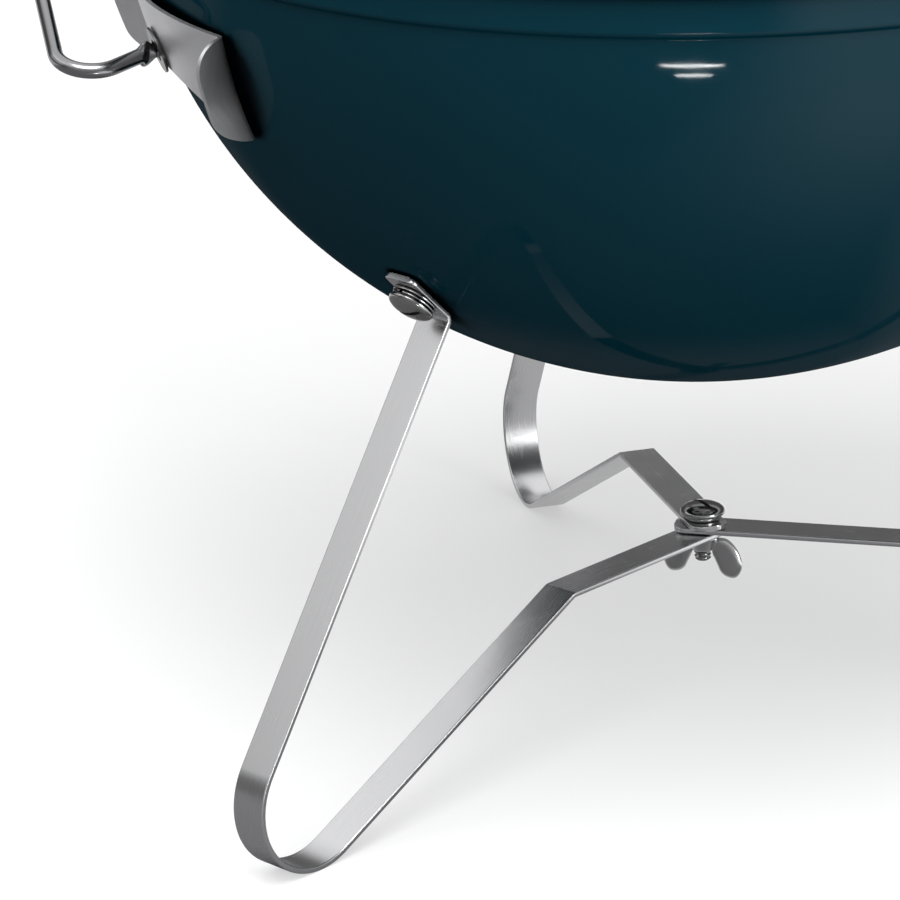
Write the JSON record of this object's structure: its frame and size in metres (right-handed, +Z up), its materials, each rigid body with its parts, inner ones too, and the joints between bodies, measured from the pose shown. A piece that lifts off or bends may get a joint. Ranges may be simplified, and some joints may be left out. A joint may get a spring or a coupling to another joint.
{
  "type": "portable tabletop grill",
  "caption": "Portable charcoal kettle grill with enamelled bowl and lid on bent strap legs, with grates, vent dampers and a wire carry bail.",
  "frame": {"origin": "on the ground under the middle of the whole grill's box; the bowl's axis is 12.9 mm towards -Y from it", "axes": "+Z up, +X along the bail's pivot axis, +Y over the rear leg"},
  "size_m": [0.418, 0.3936, 0.4245],
  "materials": {
    "enamel": "glossy petrol-blue vitreous enamel",
    "plated_steel": "satin plated strap and fasteners",
    "chromed_wire": "bright plated wire",
    "grate_steel": "bright plated rod",
    "aluminium": "satin",
    "nylon": "matte moulded, fine grain"
  },
  "bodies": {
    "bowl_and_legs": {"bowl": "enamel", "bowl_damper_rivet": "aluminium", "bracket_left": "plated_steel", "bracket_right": "plated_steel", "pivot_washer_left": "plated_steel", "pivot_washer_right": "plated_steel", "leg_front_left": "plated_steel", "leg_front_right": "plated_steel", "leg_rear": "plated_steel", "hub_bolt": "plated_steel", "hub_lock_washer": "plated_steel", "leg_bolt_front_left": "plated_steel", "leg_flat_washer_front_left": "plated_steel", "leg_lock_washer_front_left": "plated_steel", "leg_nut_front_left": "plated_steel", "leg_bolt_front_right": "plated_steel", "leg_flat_washer_front_right": "plated_steel", "leg_lock_washer_front_right": "plated_steel", "leg_nut_front_right": "plated_steel", "leg_bolt_rear": "plated_steel", "leg_flat_washer_rear": "plated_steel", "leg_lock_washer_rear": "plated_steel", "leg_nut_rear": "plated_steel"},
    "bail": {"bail": "chromed_wire"},
    "lid": {"lid": "enamel", "lid_handle": "nylon", "lid_heat_shield": "plated_steel", "lid_handle_screw_left": "plated_steel", "lid_handle_screw_right": "plated_steel", "lid_damper_rivet": "aluminium"},
    "lid_damper": {"lid_damper": "aluminium"},
    "bowl_damper": {"bowl_damper": "aluminium"},
    "wing_nut": {"wing_nut": "plated_steel"},
    "cooking_grate": {"cooking_grate": "grate_steel"},
    "charcoal_grate": {"charcoal_grate": "grate_steel"}
  },
  "joints": [
    {"name": "bail_swing", "type": "hinge", "parent": "bowl_and_legs", "child": "bail", "pos_m": [0, -0.01286, 0.2365], "axis": [1, 0, 0], "range_deg": [-52, 222]},
    {"name": "lid_lift", "type": "slide", "parent": "bowl_and_legs", "child": "lid", "axis": [0, 0, 1], "range_m": [0, 0.25]},
    {"name": "cooking_grate_lift", "type": "slide", "parent": "bowl_and_legs", "child": "cooking_grate", "axis": [0, 0, 1], "range_m": [0, 0.13]},
    {"name": "charcoal_grate_lift", "type": "slide", "parent": "bowl_and_legs", "child": "charcoal_grate", "axis": [0, 0, 1], "range_m": [0, 0.07]},
    {"name": "lid_damper_turn", "type": "hinge", "parent": "lid", "child": "lid_damper", "pos_m": [0, -0.09785, 0.37538], "axis": [0, -0.2814, 0.9596], "continuous": true},
    {"name": "bowl_damper_turn", "type": "hinge", "parent": "bowl_and_legs", "child": "bowl_damper", "pos_m": [0, -0.01286, 0.1181], "axis": [0, 0, 1], "continuous": true},
    {"name": "wing_nut_turn", "type": "hinge", "parent": "bowl_and_legs", "child": "wing_nut", "pos_m": [0, -0.01286, 0.05], "axis": [0, 0, 1], "continuous": true}
  ],
  "couplings": [
    {"joint": "cooking_grate_lift", "follows": "lid_lift", "ratio": 0.5},
    {"joint": "charcoal_grate_lift", "follows": "lid_lift", "ratio": 0.25}
  ]
}
